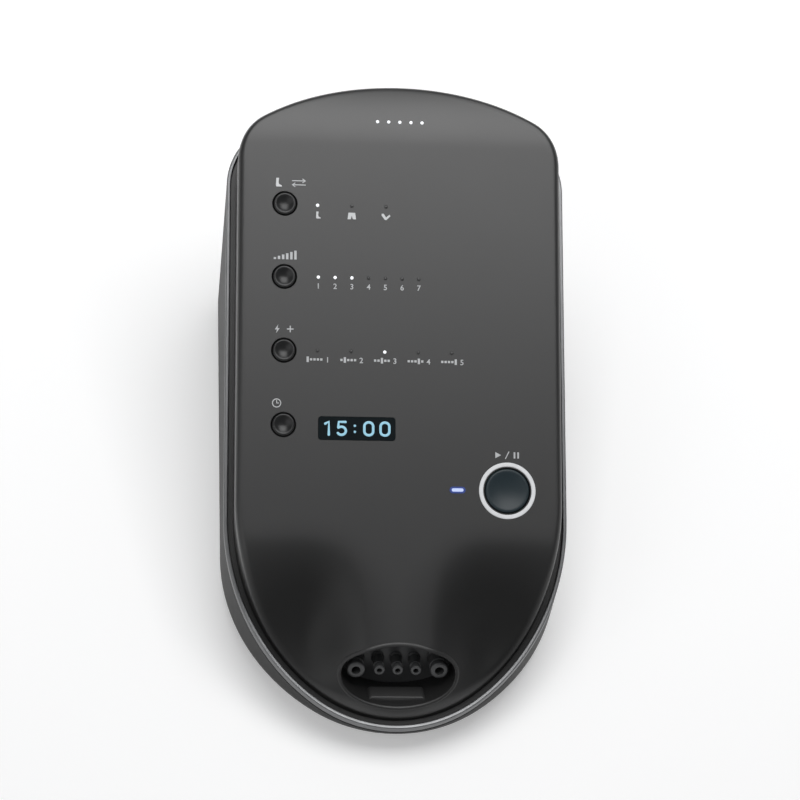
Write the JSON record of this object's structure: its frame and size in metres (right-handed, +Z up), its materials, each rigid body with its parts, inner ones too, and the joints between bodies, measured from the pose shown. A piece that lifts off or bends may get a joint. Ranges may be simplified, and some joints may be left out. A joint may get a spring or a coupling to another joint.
{
  "type": "compression therapy pump",
  "caption": "Oblong wedge-shaped control unit of an air-compression therapy system: proud face with keys, display and indicator rows over a scooped oval hose port.",
  "frame": {"origin": "under the middle of the unit, at the height of its feet", "axes": "+X to the right of the user who faces the hose port, +Y along the unit towards its thick rear end, +Z up"},
  "size_m": [0.122, 0.213, 0.1089],
  "materials": {
    "cover": "fine satin texture, almost black",
    "base": "fine spark texture, black",
    "trim": "satin, thin edge line",
    "rubber": "matt",
    "key": "satin, dished",
    "light_ring": "white diffuser",
    "lens": "smoked window",
    "window": "light pipe",
    "socket": "satin",
    "nozzle": "smooth",
    "board": "solder resist",
    "component": "moulded",
    "header": "natural nylon",
    "steel": "plated",
    "cast": "die cast",
    "cell": "sleeved can",
    "tray": "moulded",
    "tube": "soft translucent",
    "felt": "felt"
  },
  "bodies": {
    "housing": {"face_cover": "cover", "base_shell": "base", "trim_ring": "trim", "rubber_feet": "rubber", "case_screws": "steel", "port_socket": "socket", "port_nozzles": "nozzle", "start_ring": "light_ring", "display_lens": "lens", "status_window": "window", "control_board": "board", "board_screws": "steel", "key_switches": "component", "indicator_leds": "component", "display_module": "component", "board_headers": "header", "pressure_sensors": "component", "power_jack": "component", "power_switch": "component", "power_board": "board", "battery_cells": "cell", "battery_tray": "tray", "battery_straps": "steel", "pump_motor": "steel", "pump_crankcase": "cast", "pump_piston": "component", "pump_head": "cast", "pump_cradle": "steel", "pump_mounts": "rubber", "intake_filter": "felt", "valve_manifold": "nozzle", "zone_valves": "component", "vent_valve": "steel", "air_tubes": "tube", "supply_tube": "tube", "battery_windows": "window", "option_windows": "window", "level_windows": "window", "zone_windows": "window"},
    "attachment_key": {"attachment_button": "key"},
    "pressure_key": {"pressure_button": "key"},
    "zone_key": {"zone_button": "key"},
    "time_key": {"time_button": "key"},
    "start_key": {"start_button": "key"},
    "power_key": {"power_button": "key"},
    "crankshaft": {"pump_crankshaft": "steel"}
  },
  "joints": [
    {"name": "attachment_press", "type": "slide", "parent": "housing", "child": "attachment_key", "axis": [0, 0.3916, -0.9201], "range_m": [0, 0.0006], "stiffness_N_per_m": 1500},
    {"name": "pressure_press", "type": "slide", "parent": "housing", "child": "pressure_key", "axis": [0, 0.3916, -0.9201], "range_m": [0, 0.0006], "stiffness_N_per_m": 1500},
    {"name": "zone_press", "type": "slide", "parent": "housing", "child": "zone_key", "axis": [0, 0.3916, -0.9201], "range_m": [0, 0.0006], "stiffness_N_per_m": 1500},
    {"name": "time_press", "type": "slide", "parent": "housing", "child": "time_key", "axis": [0, 0.3916, -0.9201], "range_m": [0, 0.0006], "stiffness_N_per_m": 1500},
    {"name": "start_press", "type": "slide", "parent": "housing", "child": "start_key", "axis": [0, 0.3916, -0.9201], "range_m": [0, 0.0006], "stiffness_N_per_m": 2000},
    {"name": "power_press", "type": "slide", "parent": "housing", "child": "power_key", "axis": [0, -0.9903, 0.1392], "range_m": [0, 0.0008], "stiffness_N_per_m": 2000},
    {"name": "crank_spin", "type": "hinge", "parent": "housing", "child": "crankshaft", "pos_m": [0, 0.05455, 0.03191], "axis": [1, 0, 0], "continuous": true}
  ]
}
